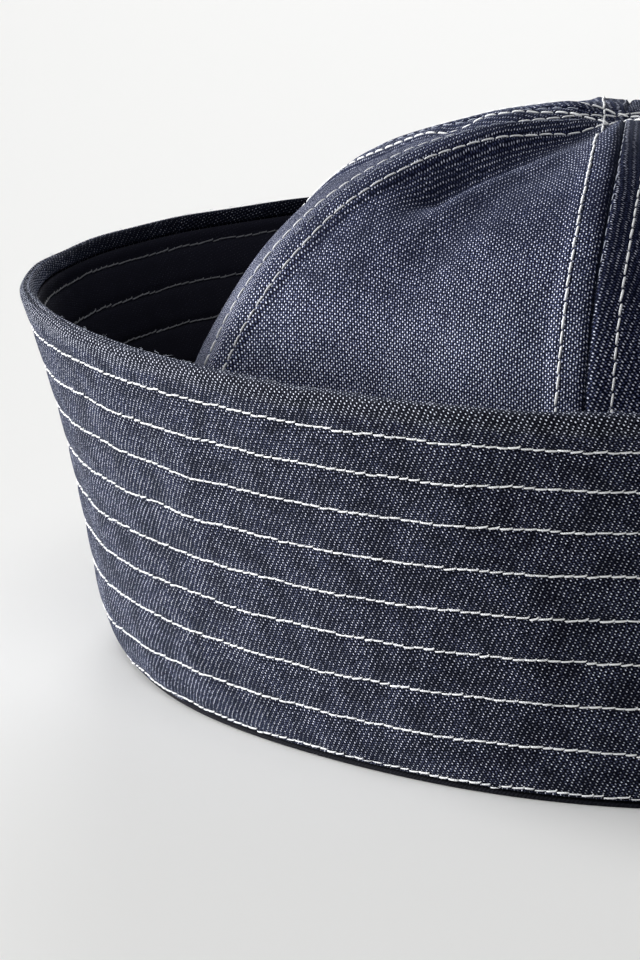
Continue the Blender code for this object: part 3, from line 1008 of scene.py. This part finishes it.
def makeSeamStitching(name, material):
    # the thread that joins the gores, where it shows beside the groove of each seam
    sewn = []
    rise = np.radians(np.linspace(seamThread["lowest"], seamThread["highest"], 400))
    for seam in range(1, 7):
        first, second = goreEdges(seam - 1, rise)
        across = 1 - seamThread["away"] / (dome(second, rise)[0] * (second - first))
        sewn.append(stitchesOn(gorePoint(seam - 1, across, rise), seamThread, 400 + seam))
    return threadPiece(name, sewn, seamThread["sides"], material, "crown_denim")


band = {
    "thickness": 0.9, "gap": 1.0,  # behind the gores
    "footInset": 0.3, "turned": 1.6,  # its edge, in from the brim's outer face, and its turned-out foot
    "rises": (1.0, 3.0, 5.0, 7.0, 9.0, 11.0),
    "columns": 300, "length": 620,
}


def makeBand(name, material):
    azimuth = math.pi + math.tau * np.arange(band["columns"]) / band["columns"]
    foot = footRadius(azimuth)[0]
    depth, half = crown["wall"] + band["gap"], band["thickness"] / 2
    insets = (band["footInset"] + half, band["turned"], crown["depth"], crown["depth"] + depth)
    line = [(foot - inset, np.full(foot.shape, half)) for inset in insets]
    for rise in band["rises"]:
        spots = skin(azimuth % math.tau, math.radians(rise), depth, False)
        line.append((np.hypot(spots[:, 0] - headAxis[0], spots[:, 1] - headAxis[1]), spots[:, 2]))
    line = np.array(line)  # section x (radius, height) x azimuth
    step = np.gradient(line, axis=0)
    step = step / np.linalg.norm(step, axis=1, keepdims=True)
    across = np.stack((step[:, 1], -step[:, 0]), 1) * half
    ends = []
    for last, sign in ((-1, 1), (0, -1)):
        ahead, aside = step[last] * sign * half, across[last] * sign
        turns = np.linspace(0, math.pi, 7)[1:-1]
        ends.append([line[last] + aside * math.cos(turn) + ahead * math.sin(turn) for turn in turns])
    loop = np.array([*(line + across), *ends[0], *(line - across)[::-1], *ends[1]])
    loop[:, 1] = np.maximum(loop[:, 1], 0.0)
    points = place(loop[:, 0], azimuth[None], loop[:, 1])
    run = np.linspace(0, band["length"], band["columns"] + 1)
    rise = runAlong(np.concatenate((loop, loop[:1]))[:, :, 0])
    uv = np.stack(np.broadcast_arrays(run[None], rise[:, None]), -1)
    piece = loft(name, points, uv, material, closedAcross=True, closedAlong=True)
    return dress(piece, "band_tape", "sweatband")


stage = {
    "floorColour": (0.86, 0.86, 0.85), "roughness": 0.7, "specular": 0.2,
    "floorHalf": 12.0,  # in metres
    "world": (1.0, 1.0, 1.0), "worldStrength": 0.12,
}
lamps = {
    # turn from the left of the picture towards the camera, height and spread in degrees; strength
    "window": (-10, 4, 16, 3.4),
    "left": (-10, 10, 25, 2.1),
    "leftBack": (-30, 20, 25, 2.0),
    "back": (-90, 20, 25, 1.03),
    "frontTop": (90, 60, 35, 0.95),
    "top": (-10, 62, 35, 0.2),
}


def makeStage():
    bpy.ops.mesh.primitive_grid_add(x_subdivisions=8, y_subdivisions=8, size=2 * stage["floorHalf"])
    floor = bpy.context.object
    floor.name = "floor"
    finish = Finish("paleFloor", {"Roughness": stage["roughness"], "Specular IOR Level": stage["specular"],
                                  "Base Color": (*stage["floorColour"], 1)})
    floor.data.materials.append(finish.material)
    world = bpy.data.worlds.new("studio")
    bpy.context.scene.world = world
    world.use_nodes = True
    sky = world.node_tree.nodes["Background"]
    sky.inputs["Color"].default_value = (*stage["world"], 1)
    sky.inputs["Strength"].default_value = stage["worldStrength"]


def makeLamps():
    facing = math.radians(photo["azimuth"])
    towards = Vector((-math.sin(facing), -math.cos(facing), 0))  # from the cap to the camera
    left = Vector((-math.cos(facing), math.sin(facing), 0))
    for name, (turn, height, spread, strength) in lamps.items():
        turn, height = math.radians(turn), math.radians(height)
        data = bpy.data.lights.new(name, "SUN")
        data.angle = math.radians(spread)
        data.energy = strength
        lamp = bpy.data.objects.new(name, data)
        bpy.context.scene.collection.objects.link(lamp)
        source = (left * math.cos(turn) + towards * math.sin(turn)) * math.cos(height)
        source.z = math.sin(height)
        lamp.rotation_euler = (-source).to_track_quat("-Z", "Y").to_euler()


makeCamera()
makeStage()
makeLamps()
bpy.context.scene.view_settings.view_transform = "Standard"
print("camera, floor and lamps made")

crownCloth = makeDenim("crownDenim", crownDenim)
brimCloth = makeDenim("brimDenim", brimDenim)
facingCloth = makeDenim("facingDenim", facingDenim)
whiteThread = makeThread("whiteThread", whiteLook)
shadedWhiteThread = makeThread("shadedWhiteThread", shadedWhiteLook)
paleThread = makeThread("paleThread", paleLook)
tapeBlack = makeTape("blackTape", tapeLook)
print("finishes made")

makePly("brimOuter", outerProfile(), brimCloth, "brim_outer")
makePly("brimFacing", facingProfile(), facingCloth, "brim_facing")
makeBrimStitching("brimStitching", True, brimThread["sides"], whiteThread)
makeBrimStitching("facingStitching", False, brimThread["insideSides"], shadedWhiteThread)
makeFibres("strayFibres", paleThread)
print("brim made")

for gore in range(len(crown["seams"])):
    makeGore(gore, crownCloth)
makeCrownStitching("crownStitching", whiteThread)
makeSeamStitching("seamStitching", paleThread)
print("crown made")

makeBand("footBand", tapeBlack)
print("band made")
